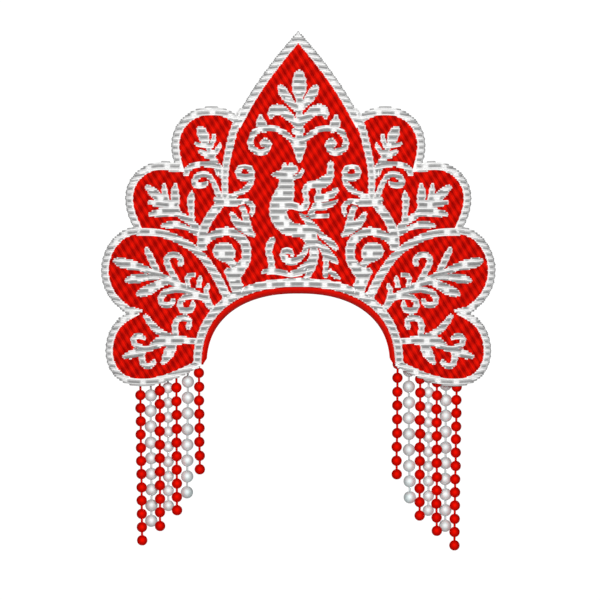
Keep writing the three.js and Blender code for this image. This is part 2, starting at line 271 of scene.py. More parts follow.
PALMETTE_STEM = [
    [(299.3, 70, 1.5), (299.3, 73, 6.5), (299.3, 76, 11), (299.3, 81, 14), (299.3, 86, 15),
     (299.3, 91, 13.5), (299.3, 95, 8.5), (299.3, 99, 6)],
    [(299.3, 98, 7.4), (299.3, 118, 7), (299.3, 140, 7)],
    [(299.3, 138, 9), (299.3, 145, 14.5), (299.3, 150, 11.4), (299.3, 155, 8.2), (299.3, 159, 5.6),
     (299.3, 161.5, 4)],
]
BIRD = [
    # beak, head, crest and the curl at its back
    [(271.8, 174.8, 2.4), (275.5, 174.6, 5), (279.5, 174.8, 8.4), (284, 175, 11)],
    [(286.6, 171, 11), (290.6, 170.6, 11.4), (294, 169.6, 8), (296.4, 168, 4)],
    [(284.4, 168, 5.6), (284.6, 164.9, 4.8)],
    [(290.8, 168, 6.4), (291, 165.3, 5.6)],
    [(294, 177.3, 4.6), (298, 176.6, 4.6), (301, 174, 4.4), (302.5, 170.6, 3.8)],
    # neck, breast and back
    [(286.4, 174, 15), (286.4, 182, 15.6), (286.2, 188, 16.4), (284.8, 193.5, 19.5), (282.6, 199.5, 21.5),
     (279.2, 206.5, 19.5), (278, 213, 17.8), (280.6, 220, 17), (286.5, 227, 15.6), (294.8, 230.2, 13.6),
     (303, 231.2, 14), (309.5, 231, 15)],
    [(308, 226, 8), (313.5, 227.5, 9), (317.5, 230.5, 6)],
    # wing: arm, bar, three feathers and the root
    [(288, 203.5, 9), (292.5, 205, 8), (297.5, 207.5, 7), (302, 208.2, 7), (305.8, 205.2, 7),
     (306.4, 199.5, 5.8), (305.6, 194, 6.2), (305.4, 190.3, 7), (308, 186.4, 7.4), (312.5, 184.5, 7.8),
     (318.5, 184.2, 10), (324.5, 181.8, 11.5), (329.2, 177.3, 9), (330.4, 172, 7.4), (330.4, 167, 6.8),
     (330.8, 163.6, 5.6)],
    [(318.6, 190, 5.5), (318.4, 199, 5.5), (317, 204, 5.5), (313.6, 209, 5.6), (310.2, 213.8, 5.6)],
    [(317, 198.2, 7), (324, 197.6, 7.8), (331, 194.8, 7.6), (335.4, 191.2, 6), (336.8, 188.8, 3.6)],
    [(315.5, 206.5, 8), (322, 206.6, 8.2), (330, 204.4, 6.4), (335, 201.8, 4), (337.2, 200.6, 2.4)],
    [(309.5, 216.2, 5), (318, 216.2, 5.2), (327.6, 215.7, 4.4)],
    [(300.4, 214.2, 3), (304, 217.4, 5.4), (309, 221.6, 7)],
    # tail: middle, four feathers, curl and leaf
    [(310, 237, 15), (311.5, 242, 12.5), (313.5, 247, 8.4), (314.2, 253, 9.6), (313.5, 259, 9.6),
     (312, 265, 9.2), (309.5, 271, 8), (307, 277, 6)],
    [(318.5, 232.6, 4.6), (325, 238, 6), (331, 243.2, 6.6), (335.4, 247.6, 6)],
    [(318.7, 243.5, 6), (324, 249.2, 8.4), (330, 255.6, 7.8), (336, 261.8, 5.6)],
    [(325.4, 254, 7), (326, 262, 6), (325.8, 270, 6), (325.5, 278, 5.6)],
    [(329.6, 271.2, 4.6), (334.4, 275, 5.4), (338.4, 278.4, 4.2)],
    [(306.8, 245, 6), (305, 251, 5.8), (301, 256.8, 6), (295, 261, 7), (289, 261.4, 7.2),
     (284.2, 257.8, 7), (283.2, 253.4, 6.4), (286, 250.2, 5.6), (290, 251.2, 5.4), (292.6, 254.4, 4)],
    [(309, 263, 7), (303.4, 267.6, 7), (297.5, 271.4, 5), (292, 273.2, 4.6)],
    # branch and upright leaf that it stands on
    [(262.8, 272.2, 4), (270, 271, 6.2), (278, 271.4, 5.8), (286, 273.6, 5), (291.5, 275, 4.6),
     (298, 273.6, 4.6), (305, 271.2, 4.6), (310, 270, 5)],
    [(272.3, 239.8, 6.2), (270.6, 243.6, 7.8), (269, 248, 7.8), (269, 253, 7), (270.6, 259, 6.6),
     (271.9, 267, 7)],
]

# Strokes of the left half, which the right half mirrors.
PALMETTE_LEAVES = [
    [(297.5, 110.6, 5.5), (292.4, 104.6, 6.8), (287.8, 99.2, 9.2), (284.4, 94, 9.8), (281.8, 89.6, 8.4),
     (280.4, 87.2, 5.2)],
    [(297, 125, 7), (289.5, 117, 8.4), (282, 110.8, 10.8), (275.4, 109.8, 11), (271.6, 113.5, 8.4),
     (270.8, 117, 4.4)],
    [(298, 134, 6), (294.4, 131, 5), (292.8, 130, 3)],
    [(298.2, 148.7, 6), (290.6, 138.8, 6), (281.6, 131.4, 6), (271.4, 128.4, 5.4), (261.2, 129, 5.4),
     (253.8, 133.6, 6.4), (250.6, 140.5, 6.4), (251.8, 147.4, 6.4), (257.6, 151.8, 6.6),
     (264, 151.8, 6.8), (268.4, 147.4, 7), (267, 143, 8)],
    [(265, 143.6, 10.4), (265.6, 144.2, 10.4)],
    [(260.6, 114.8, 1.8), (260.6, 119.6, 7), (261.4, 124.6, 11), (264, 128, 9.4)],
]
SCROLLS = [
    # ring with its tail
    [(244.8, 166.4, 5.6), (250, 168.6, 5.6), (252, 173, 6), (249, 177.2, 6.8), (244, 177.6, 7.2),
     (239.4, 175.6, 6.8), (238.2, 171, 6), (241, 167.4, 5.6), (244.8, 166.4, 5.6)],
    [(252.4, 175, 5), (251.5, 181.5, 5.6), (248, 187, 6.2), (242, 191.7, 5.8), (235, 194.7, 5),
     (228, 196.2, 4)],
    # hook, the leaf under it, and the branch down to the great scroll
    [(217, 200, 8), (224, 201.4, 10), (232, 202.4, 9.6), (240, 202.2, 7.2), (247, 201.8, 5.4),
     (251.6, 204.6, 5.4), (252.8, 209, 5.4), (251.6, 214.4, 4)],
    [(231.8, 214.4, 5), (235.2, 220, 8), (241, 226, 9.4), (247.4, 230.6, 9), (253.2, 234.8, 5.4)],
    [(241.5, 206, 5.4), (244.3, 212, 6.2), (246.3, 220, 7.4), (248, 227, 8.6)],
    [(221, 203.5, 8), (216, 209, 9.4), (211, 215.5, 9.4), (207, 222, 9.4), (204, 229, 9.4),
     (201.6, 236, 8.6), (200.4, 242, 7), (199.4, 247.6, 6.4)],
    [(201.8, 249, 8.8), (203.4, 243, 9), (207, 239, 8.6), (211, 236.4, 8.4), (216, 233.8, 8.4),
     (223, 231.8, 9), (230, 231.8, 9), (237, 235, 9), (243, 240.4, 9.4), (246, 247, 9.8),
     (246.4, 254, 9.8), (245.4, 261, 10), (241.6, 266.5, 11), (238, 272, 12)],
    [(221, 251.4, 17), (224.6, 252, 20), (227.6, 253.6, 16)],
    [(228.4, 259.5, 8), (234.5, 265.5, 8)],
    [(228, 271.8, 8), (233, 275.4, 14), (234.6, 280.4, 13), (237, 287, 13)],
    # curl towards the second lobe
    [(219, 196, 6.4), (216.5, 189.5, 6), (213.7, 183, 5.6), (210, 177.2, 5.6), (205, 174.2, 6.2),
     (199.5, 175, 6.6), (195.2, 178.6, 6.2), (194.4, 182.4, 6.2), (197.6, 185.6, 6.4),
     (202.5, 185.2, 6.4), (206.4, 182.8, 4.4)],
]
SPRAYS = [
    # second lobe: branch, fork, leaf, bar, stem and buds
    [(223.5, 172, 7), (218.5, 167, 7), (213, 164.2, 6.4), (203, 163.6, 6), (196, 164.2, 6),
     (190.6, 166.8, 6.4), (187, 170.2, 7), (185.8, 173, 6)],
    [(216.5, 169.5, 5), (219.8, 174, 6), (224, 177, 5)],
    [(199.4, 128.2, 5), (201.4, 131.6, 10), (203.6, 136.4, 11.2), (205.2, 141.2, 8.4)],
    [(213.8, 136, 4.6), (213.3, 140, 5), (211.4, 145, 5)],
    [(195.6, 143.2, 4), (202, 145.2, 4.4), (209, 145.4, 5)],
    [(206.4, 145.4, 5), (208.6, 149.4, 4.4), (210.6, 154, 9), (213, 158.4, 6.4), (216, 163, 6)],
    [(200.4, 151.8, 4.8), (206, 154.6, 5.8), (212, 157, 5)],
    [(219.9, 144.6, 4), (218, 148.8, 5.2), (214, 154, 5)],
    # third lobe: five leaves, stem and two twigs
    [(175.1, 185, 4), (174.6, 191, 8), (175, 199, 9.4), (175.6, 206, 7), (177, 211, 6)],
    [(163.8, 185.6, 4.6), (164.2, 191, 6.4), (165.4, 198, 7), (168, 204, 7)],
    [(146.8, 186.8, 5.4), (150.6, 190, 8.4), (155, 194.2, 9.6), (160.6, 199, 9.4), (167, 204, 8)],
    [(149, 202.4, 4.4), (155, 202.8, 5.8), (162, 203.8, 8), (172, 206, 9)],
    [(150, 213.8, 5), (156, 213, 7.6), (163, 211.8, 9.4), (169, 210.8, 10), (176, 211.4, 9)],
    [(173, 207, 6), (176.6, 211.4, 7), (181.5, 216, 7), (189, 220.6, 7), (198.4, 230, 7.4)],
    [(192.3, 192.6, 4), (190.8, 198, 7.4), (190.6, 204, 7.4), (191.2, 212, 6), (191.8, 220, 6)],
    [(162, 225.4, 4), (168, 224.8, 7), (175, 224.6, 7.4), (182, 226, 6), (188, 228.6, 5), (199, 234, 6)],
    # fourth lobe: stem, three leaves, twig, curls, nub and sprig
    [(211, 307, 6.9), (204, 298.6, 6.9), (196, 293.8, 7.3), (188, 289.4, 7.3), (178.5, 285, 7.3),
     (168.8, 280.6, 7.3), (155.7, 273.6, 6.9)],
    [(157, 274, 6.9), (150, 271.6, 6.5), (142, 268.2, 7.7), (135, 266, 8.8), (129, 264.4, 10.4),
     (122, 262.8, 10.2), (117.2, 261.4, 8.5), (114.2, 260.6, 4.9)],
    [(160, 276.8, 6.3), (152, 276.6, 7.1), (144, 277.6, 8.3), (137, 278.4, 8.2), (130, 279.4, 8.5),
     (126.2, 280.4, 4.9)],
    [(166, 281.8, 6.3), (160, 283.6, 7.9), (154, 286.8, 9.4), (148, 289.8, 10.6), (142.5, 292, 9),
     (138, 293.6, 5.9)],
    [(156.4, 270.6, 7.1), (152, 262, 7.1), (148.8, 255, 6.9), (146, 249.8, 5.3)],
    [(176.6, 281.6, 6.5), (171.4, 272.6, 6.5), (167, 264, 6.5), (166.8, 257.8, 6.5), (172, 254.8, 6.3),
     (178.4, 256.4, 6.3), (181, 261, 6.1), (180, 264, 5.5)],
    [(187.4, 286, 5.9), (187, 279, 5.7), (189.8, 275, 5.5), (193.8, 274.6, 4.9)],
    [(200, 278.6, 5.3), (198.6, 285.6, 5.5)],
    [(208, 286, 4.9), (206, 291, 5.5), (208, 301, 5.9)],
    [(189, 291.6, 6.5), (178.5, 289, 6.3), (169.4, 290.2, 6.3), (162.4, 294.4, 6.3), (160.2, 300, 6.3),
     (163.4, 305, 6.3), (169.4, 305, 6.1), (172.8, 300.6, 5.3)],
    [(199, 296, 6.5), (190, 295.4, 6.3), (183, 298.6, 6.3), (179.6, 304.4, 6.3), (182, 310.2, 6.3),
     (187.4, 311.4, 6.3), (192, 307.8, 5.9), (192.8, 303.4, 5.1)],
    # fifth lobe: stem, twig, curls and leaves
    [(196, 341, 6), (188, 340.6, 6.6), (180, 340, 9), (172, 340.2, 13), (165, 340.4, 13.4), (158, 342, 9),
     (152, 345, 6)],
    [(166, 336, 6.9), (156, 329.6, 7.3), (149.4, 322.4, 6.7), (145, 316.4, 4.9)],
    [(175.6, 335, 6.5), (174.8, 325, 6.5), (178.6, 318.6, 6.3), (184.6, 317.6, 6.1), (189, 321.2, 6.1),
     (188.2, 327.6, 5.3)],
    [(172.8, 343, 9), (170, 350, 11), (166.6, 356.4, 9.6), (162.6, 362.6, 4.6)],
    [(163, 343, 5.9), (154, 347, 5.9), (143, 348.8, 6.3), (135, 345, 6.3), (132.8, 339.4, 6.1),
     (137.4, 335.6, 5.7), (142.8, 338, 4.9)],
    [(143, 351, 5.9), (136, 352.8, 8.5), (129, 355.2, 7.9), (123.4, 357.2, 4.3)],
    [(141.8, 352, 6.9), (141.4, 360.6, 6.5), (145, 365.8, 6.5), (150, 365.4, 6.3), (153.6, 362, 4.9)],
]

# Ribs that divide the petals, and white spurs that run in from the notches between the scallops.
RIBS = {
    "centre_rib": [(241.6, 112, 8.4), (238.8, 118, 8.4), (236.4, 124, 8), (234, 130, 7.8), (230.9, 141, 7.8),
                   (228, 154, 7.6), (225.9, 166, 7.2), (224.8, 180, 7), (225, 196, 6.9)],
    "petal_rib": [(138, 231.2, 8.5), (153.5, 231.9, 8), (170, 235.9, 8), (186, 243.8, 8), (197.5, 251.8, 8),
                  (206, 261, 8), (213, 271, 8.6), (219, 281, 9), (226, 295, 9)],
}
SPURS = [
    [(122, 313.4, 14), (130, 312.2, 11), (136, 311.4, 6.4), (141.4, 310.8, 1.6)],
    [(158, 165, 8), (170, 166.4, 9), (177, 167.4, 9)],
]


def charted(points, mirrored=False):
    """A stroke in x, z and width: a smooth curve through its points, each stretch a Catmull-Rom cubic."""
    knots = np.array(points, float)
    knots[:, :2] = (knots[:, :2] - CROWN_SQUARE) * (SQUARE, -SQUARE)
    knots[:, 2] *= SQUARE
    knots[:, 0] *= -1 if mirrored else 1
    padded = np.vstack([2 * knots[0] - knots[1], knots, 2 * knots[-1] - knots[-2]])
    a, b, c, d = padded[:-3, None], padded[1:-2, None], padded[2:-1, None], padded[3:, None]
    t = (np.arange(STROKE_STEPS) / STROKE_STEPS)[None, :, None]
    slope, curve, bend = (c - a) / 2, (2 * a - 5 * b + 4 * c - d) / 2, (3 * b - 3 * c + d - a) / 2
    smooth = b + t * slope + t**2 * curve + t**3 * bend
    return np.vstack([smooth.reshape(-1, 3), knots[-1]])


def both_sides(strokes):
    """Strokes charted for the left half, each followed by its mirror image on the right."""
    return [charted(points, mirrored) for points in strokes for mirrored in (False, True)]


# Depths on the cloth are kept on a fine grid of cells: how far each cell lies inside a shape.
CELL = 0.25
FIELD_LOW = np.array([-166.0, -86.0])
FIELD_SHAPE = (1220, 1328)       # rows upwards, columns across
FAR = -20.0                      # depth of cells that no shape comes near
STROKE_MARGIN = 2.5              # cells up to this far outside a stroke get their depth
BORDER_MARGIN = 4                # and those up to this far inside the border
EDGE_MARGIN = 12                 # and those up to this far from the edge


def near_segments(stroke, margin):
    """For each segment of a stroke: the window of cells near it, their x, and each cell's nearest point on
    the segment, as a share of its length and as a distance."""
    for start, end in zip(stroke[:-1], stroke[1:]):
        reach = max(start[2], end[2]) / 2 + margin
        low = np.maximum((np.minimum(start, end)[:2] - reach - FIELD_LOW) // CELL, 0).astype(int)
        high = (np.maximum(start, end)[:2] + reach - FIELD_LOW) // CELL + 1
        high = np.minimum(high, FIELD_SHAPE[::-1]).astype(int)
        x = (FIELD_LOW[0] + CELL * np.arange(low[0], high[0]))[None, :]
        z = (FIELD_LOW[1] + CELL * np.arange(low[1], high[1]))[:, None]
        span = (end - start)[:2]
        share = ((x - start[0]) * span[0] + (z - start[1]) * span[1]) / max(span @ span, 1e-9)
        share = np.clip(share, 0, 1)
        away = np.hypot(x - start[0] - share * span[0], z - start[1] - share * span[1])
        yield (slice(low[1], high[1]), slice(low[0], high[0])), x, share, away


def field_of(strokes, margin=STROKE_MARGIN):
    """Depth field of strokes: at each cell the most that half a stroke's width exceeds the way to its
    path."""
    field = np.full(FIELD_SHAPE, FAR)
    for stroke in strokes:
        widths = zip(stroke[:-1, 2], np.diff(stroke[:, 2]))
        for (window, _, share, away), (width, growth) in zip(near_segments(stroke, margin), widths):
            field[window] = np.maximum(field[window], (width + share * growth) / 2 - away)
    return field


def inside_outline(outline):
    """True for cells inside a closed outline: along each row an odd number of crossings lies to the left."""
    after = np.roll(outline, -1, 0)
    z = FIELD_LOW[1] + CELL * np.arange(FIELD_SHAPE[0])
    crossed, row = np.nonzero((outline[:, 1, None] <= z) != (after[:, 1, None] <= z))
    a, b = outline[crossed], after[crossed]
    x = a[:, 0] + (z[row] - a[:, 1]) / (b[:, 1] - a[:, 1]) * (b[:, 0] - a[:, 0])
    flips = np.zeros(FIELD_SHAPE, np.int32)
    np.add.at(flips, (row, np.ceil((x - FIELD_LOW[0]) / CELL).astype(int)), 1)
    return np.cumsum(flips, 1) % 2 == 1


def read_field(field, x, z):
    """Field value at points, blended between the four nearest cells."""
    across = np.clip((x - FIELD_LOW[0]) / CELL, 0, FIELD_SHAPE[1] - 1.001)
    up = np.clip((z - FIELD_LOW[1]) / CELL, 0, FIELD_SHAPE[0] - 1.001)
    column, row = across.astype(int), up.astype(int)
    u, v = across - column, up - row
    low = field[row, column] * (1 - u) + field[row, column + 1] * u
    return low * (1 - v) + (field[row + 1, column] * (1 - u) + field[row + 1, column + 1] * u) * v


edge_run = np.column_stack([edge, edge_width])
edge_run = np.vstack([edge_run, edge_run[:1]])
from_edge = -field_of([edge_run * (1, 1, 0)], EDGE_MARGIN)
from_edge = np.where(inside_outline(edge), from_edge, -from_edge)
border_inner = field_of([edge_run * (1, 1, 2), *both_sides(SPURS)], BORDER_MARGIN)
border_depth = np.minimum(from_edge, border_inner)
ribs = {(name, side): charted(points, side == "right")
        for name, points in RIBS.items() for side in ("left", "right")}
rib_depth = field_of(ribs.values())
motifs = {
    "palmette": [charted(points) for points in PALMETTE_STEM] + both_sides(PALMETTE_LEAVES),
    "bird": [charted(points) for points in BIRD],
    "scrolls": both_sides(SCROLLS),
    "sprays": both_sides(SPRAYS),
}
motif_depth = {name: field_of(strokes) for name, strokes in motifs.items()}
ornament_depth = np.max(list(motif_depth.values()), 0)


# Red ground
# The whole ground is filled with slanting rows of red thread, laid side by side through the cloth.
# Each thread's colour is painted darker or lighter by its place in a stripe, a painted shade between rows,
# and is painted with light and shade along each stitch, so the filling looks twilled.

FILL_LEAN = np.radians(-58.8)    # rows run down to the right
FILL_PITCH = 1.175
STRIPE_THREADS = 4               # threads from one painted-bright thread to the next, a stripe of 4.7 mm
FILL_STITCH = 9.6                # length of a stitch, over which the shading repeats
FILL_STEP = 1.6                  # points along a thread lie about this far apart
FILL_SHIFT = 1.6                 # each stripe's painted shading starts this much further on
FILL_SHORTEST = 0.8
FILL_HALF_WIDTH = 0.63           # more than half the pitch, so that threads press together
FILL_HALF_HEIGHT = 0.38
FILL_END = 0.6                   # a thread narrows to this share at its ends
FILL_RIPPLE = 0.06               # the bright thread of a stripe lies this much higher
FILL_TONE = 0.43                 # the threads' middle tone, from 0 dark to 1 light
STRIPE_PAINTED_SHADE = 0.35               # how much painted shade changes it across a stripe
STITCH_PAINTED_SHADE = 0.26              # how much painted light and shade change it along a stitch
FILL_SCATTER = 0.05
THREAD_SIDES = 6
TWIST = 1.4                      # turns that a thread's two plies make in a millimetre


def stretches(depth, s):
    """Along sampled rows, each stretch where the depth is above zero: its row, start and end, with the ends
    found between samples by straight interpolation."""
    turn = np.diff((depth > 0).astype(np.int8), axis=1)
    row, begin = np.nonzero(turn == 1)
    stop = np.nonzero(turn == -1)[1]
    step = s[1] - s[0]
    start = s[begin] + step * depth[row, begin] / (depth[row, begin] - depth[row, begin + 1])
    end = s[stop] + step * depth[row, stop] / (depth[row, stop] - depth[row, stop + 1])
    return row, start, end


def slanting_rows(field, lean, pitch):
    """Straight parallel rows across a depth field: number, offset, start and end of each stretch."""
    along, across = np.array([np.cos(lean), np.sin(lean)]), np.array([-np.sin(lean), np.cos(lean)])
    reach = np.hypot(*FIELD_SHAPE) * CELL / 2
    middle = FIELD_LOW + np.array(FIELD_SHAPE[::-1]) * CELL / 2
    number = np.arange(int((middle @ across - reach) // pitch), int((middle @ across + reach) // pitch) + 1)
    s = middle @ along + np.arange(-reach, reach, CELL)
    x = s * along[0] + number[:, None] * pitch * across[0]
    z = s * along[1] + number[:, None] * pitch * across[1]
    low, high = FIELD_LOW, FIELD_LOW + CELL * (np.array(FIELD_SHAPE[::-1]) - 2)
    on_field = (x > low[0]) & (z > low[1]) & (x < high[0]) & (z < high[1])
    row, start, end = stretches(np.where(on_field, read_field(field, x, z), FAR), s)
    return number[row], number[row] * pitch, start, end


def spread_points(counts):
    """For strands of so many points each: every point's strand, and its place along that strand."""
    strand = np.repeat(np.arange(len(counts)), counts)
    return strand, np.arange(counts.sum()) - np.repeat(np.cumsum(counts) - counts, counts)


def thread_tubes(strand, x, z, lean, height, half_width, half_height, tone, face=1):
    """Closed threads: a six-sided oval at each point, square to the thread's lean, joined along its strand
    and capped at both ends. Face 1 lays them on the crest's front, and -1 on its back."""
    angle = np.pi / 2 + 2 * np.pi * np.arange(THREAD_SIDES) / THREAD_SIDES
    side = half_width[:, None] * np.cos(angle)
    rise = height[:, None] + half_height[:, None] * np.sin(angle)
    points = on_crest(x[:, None] - side * np.sin(lean)[:, None], face * rise,
                      z[:, None] + side * np.cos(lean)[:, None])
    joined = strand[1:] == strand[:-1]
    here = np.nonzero(joined)[0][:, None] * THREAD_SIDES
    k = np.arange(THREAD_SIDES)
    after = (k + 1) % THREAD_SIDES
    quads = np.stack([here + k, here + after, here + THREAD_SIDES + after, here + THREAD_SIDES + k], -1)
    run = np.concatenate([[0], np.cumsum(np.hypot(np.diff(x), np.diff(z)) * joined)])
    u = np.stack([run[:-1], run[:-1], run[1:], run[1:]], -1)[joined][:, None]
    v = np.stack([k, k + 1, k + 1, k], -1) / THREAD_SIDES
    uv = np.stack(np.broadcast_arrays(u, v[None]), -1)
    fresh = np.concatenate([[True], ~joined])
    starts = np.nonzero(fresh)[0][:, None] * THREAD_SIDES
    ends = np.nonzero(np.roll(fresh, -1))[0][:, None] * THREAD_SIDES
    caps = [starts + [3, 2, 1, 0], starts + [5, 4, 3, 0], ends + [0, 1, 2, 3], ends + [0, 3, 4, 5]]
    quads = np.concatenate([quads.reshape(-1, 4), *caps])
    uv = np.concatenate([uv.reshape(-1, 4, 2), np.zeros((4 * len(starts), 4, 2))])
    if face < 0:
        quads, uv = quads[:, ::-1], uv[:, ::-1]
    return points, quads, np.repeat(tone, THREAD_SIDES), uv


def floss(name, shade, light, roughness, specular, tint):
    """Embroidery thread: its tone, which carries painted shade, runs between two colours, and sine ridges
    wind round it as its twist.
    """
    material, tree, shader = new_material(
        name, Roughness=roughness, Specular_IOR_Level=specular, Specular_Tint=(*tint, 1),
        Sheen_Weight=0.05, Sheen_Roughness=0.4, Sheen_Tint=(*tint, 1))
    tone = add_node(tree, "Attribute", attribute_name="tone").outputs["Fac"]
    place = add_node(tree, "TexCoord").outputs
    drift = maths(tree, "MULTIPLY_ADD", clouds(tree, place["Object"], scale=320, detail=2), 0.24, -0.12)
    colour_by(tree, shader, maths(tree, "ADD", tone, drift, clamp=True), shade, light)
    thread = add_node(tree, "SeparateXYZ", {0: place["UV"]}).outputs
    wind = maths(tree, "MULTIPLY_ADD", thread["X"], TWIST, thread["Y"])
    ridge = maths(tree, "SINE", maths(tree, "MULTIPLY", wind, 4 * np.pi))
    relief(tree, shader, ridge, strength=0.35, distance=0.00008)
    return material


# Its shade colour is the dark red that the ground's painted shade reaches.
red_floss = floss("red_floss", shade=(0.30, 0.001, 0.0005), light=(0.90, 0.008, 0.002),
                  roughness=0.55, specular=0.12, tint=(1, 0.08, 0.04))
chance = np.random.default_rng(7)
white_depth = np.max([border_inner, rib_depth, ornament_depth], 0)
number, offset, start, end = slanting_rows(np.minimum(from_edge, TUCK - white_depth), FILL_LEAN, FILL_PITCH)
middle_x = (start + end) / 2 * np.cos(FILL_LEAN) - offset * np.sin(FILL_LEAN)
for side, chosen in (("left", middle_x < 0), ("right", middle_x >= 0)):
    chosen &= end - start > FILL_SHORTEST
    length = (end - start)[chosen]
    counts = np.maximum(np.ceil(length / FILL_STEP).astype(int), 2) + 1
    strand, place = spread_points(counts)
    share = place / (counts - 1)[strand]
    s = start[chosen][strand] + length[strand] * share
    thread, across = number[chosen][strand], offset[chosen][strand]
    stripe = np.cos(2 * np.pi * thread / STRIPE_THREADS)
    painted_shading = np.cos(2 * np.pi * (s + FILL_SHIFT * thread / STRIPE_THREADS) / FILL_STITCH)
    # The tone is painted shade: darker threads by turns across each stripe stand for shade between rows, and
    # its change along each stitch is painted light and shade.
    tone = FILL_TONE + STRIPE_PAINTED_SHADE * stripe + STITCH_PAINTED_SHADE * painted_shading
    tone += chance.normal(0, FILL_SCATTER, len(length))[strand]
    swell = np.where((share == 0) | (share == 1), FILL_END, 1.0)
    x = s * np.cos(FILL_LEAN) - across * np.sin(FILL_LEAN)
    z = s * np.sin(FILL_LEAN) + across * np.cos(FILL_LEAN)
    height = PANEL_HALF + FILL_RIPPLE * stripe
    tubes = thread_tubes(strand, x, z, np.full(len(x), FILL_LEAN), height,
                         FILL_HALF_WIDTH * swell, FILL_HALF_HEIGHT * swell, tone)
    ground = add_piece(f"red_ground_{side}", red_floss, [tubes])


# Border roll
# A cord of padding is laid along the whole edge, arch included, and white thread is wrapped over it.
# The wrapping lies almost level all the way round, all of white thread, greyed by painted shade by turns
# across each row and along each stitch.

ROLL_CROWN = 3.0                 # front of the roll, measured from the middle of the panel
ROLL_FOOT = 2.0                  # where it meets the stitched ground
ROLL_BACK = 1.9                  # its back, measured like its front
ROLL_SECTION = 9                 # points across the roll
PADDING_EDGE = 0.35              # the padding stays this far inside the roll's edge
PADDING_FRONT = 0.55             # and this far under its front
PADDING_BACK = 0.45              # and this far under its back
PADDING_LEAST = 0.5              # in a mitred corner it narrows down to this
SUNK = 0.3                       # the middle of a thread lies this far under the roll's surface
PAINTED_RIM_DEPTH = 0.7                    # painted shade runs this deep along the outer edge, where the roll turns away
# Tone of that painted rim shade.
PAINTED_RIM_TONE = 0.3
ARCH_REACH = 1.25                # value of the arch's superellipse that takes in its border
WHITE_PITCH = 1.225
ROW_THREADS = 4                  # four white threads make one row, painted white, light, grey and light as painted shade
ROW = ROW_THREADS * WHITE_PITCH
ROW_LEVEL = 9.7                  # a white thread lies at this height over the crown
WHITE_REPEAT = 14.8              # rows are sewn down at steps of this length, neighbours by turns
TIE_SCATTER = 0.15               # share of a step by which the sewing strays
ROWS_BELOW = 99                  # room for rows below the crown, whose numbers count from the end

# Points along a thread from one step to the next, as shares of the step.
DASH = np.array([0, 0.05, 0.1, 0.16, 0.25, 0.5, 0.75, 0.84, 0.9, 0.95, 1])

# How light each thread of a row is painted at its greyest, a painted shade across the row, how much its ends
# reach out, and how high it lies.
ROW_PAINTED_SHADE = {"border": np.array([1.0, 0.7, 0.09, 0.4]), "ribs": np.array([0.96, 0.56, 0.04, 0.24]),
            "motif": np.array([0.93, 0.46, 0.0, 0.12])}
ROW_REACH = np.array([0.35, 0.1, -0.3, 0.0])
ROW_LIFT = np.array([0.1, 0.02, -0.1, 0.0])

REACH_SCATTER = 0.1
WHITE_SCATTER = 0.04
WHITE_SHORTEST = 0.5
WHITE_OVERLAP = 0.54             # half a thread's width, as a share of its row's spacing
WHITE_SPARE = 0.02               # and this much over
WHITE_HALF_HEIGHT = 0.42
WHITE_POINT = 0.5                # a thread narrows to this share at its ends
SPLICE = 0.6                     # where the rows shift by one, threads run past the shift by this much
WHITE_END = 0.7                  # a thread's end stays white this far, and then painted shade greys it
TIE_MARGIN = 3.6                 # it isn't sewn down nearer to its ends than this
WHITE_GAP = 1.8                  # it is white this far on both sides of where it is sewn down
PAINTED_SHADE_RUN = 0.8                   # painted shade comes in over this length

# Threads follow a slender stroke that lies nearly level, and lie level across a steep or a broad one. For
# each kind of stroke: how closely they follow it, from what angle in degrees it is too steep, and how
# strongly a row keeps to its middle.
FOLLOW = {"border": (0.6, 85, 0), "ribs": (1.0, 85, 0), "palmette": (0.9, 85, 0), "bird": (0.9, 85, 2),
          "scrolls": (0.8, 65, 0), "sprays": (0.95, 55, 0)}
BROAD = 9                        # a stroke of this width is too broad to follow
FADE = 3.5                       # and one that is narrower by this much is slender
FLOW_SHARE = 0.3                 # a stroke's flow fades over this share of its width
FLOW_SPREAD = 0.8                # and this much more
FLOW_MARGIN = 3                  # it is laid this far past the stroke's edge
SETTLING = 14                    # rounds in which the rows settle into the flow
SETTLE_STEP = 0.6                # share of the way that they go in each
SETTLED = 0.25                   # a row has settled when it is this near
STEEPEST_ROW = 2                 # rise to run, past which a row is broken
SPACING = (0.8, 2.0)             # least and greatest spacing of threads


def lay_flow(flow, stroke, kind, in_step=True):
    """Adds a stroke to the flow, a field of complex numbers whose angle is the shift of the rows up or down,
    a turn for each row. The shift adds up the threads' slope along the stroke, in step with strokes laid
    before it and with the stroke's own middle, or else from none at its start."""
    across, up = np.gradient(stroke[:, 0]), np.gradient(stroke[:, 1])
    angle = np.arctan2(up * np.where(across < 0, -1, 1), np.abs(across))
    slender = np.clip((BROAD - stroke[:, 2]) / FADE, 0, 1)
    follow, steep, keep = FOLLOW[kind]
    slope = np.tan(follow * angle * np.clip(1 - np.abs(angle) / np.radians(steep), 0, 1) * slender)
    shift = np.concatenate([[0], np.cumsum(np.diff(stroke[:, 0]) * (slope[1:] + slope[:-1]) / 2)])
    turn = 2j * np.pi / ROW
    meeting = read_field(flow, stroke[:, 0], stroke[:, 1])
    middle = np.exp(turn * (stroke[:, 1] - ROW_LEVEL - ROW / 2)) * slender * np.cos(angle) ** 4
    meeting = np.sum((meeting + keep * middle) * np.exp(-turn * shift))
    shift += np.angle(meeting) * ROW / (2 * np.pi) * in_step
    known = np.column_stack([stroke, slope, shift])
    segments = zip(near_segments(stroke, FLOW_MARGIN), known, np.diff(known, axis=0))
    for (window, x, share, away), here, step in segments:
        near_x, width, slant, moved = (here[k] + share * step[k] for k in (0, 2, 3, 4))
        weight = np.exp(-((away / (FLOW_SHARE * width + FLOW_SPREAD)) ** 2))
        flow[window] += weight * np.exp(turn * (moved + slant * (x - near_x)))


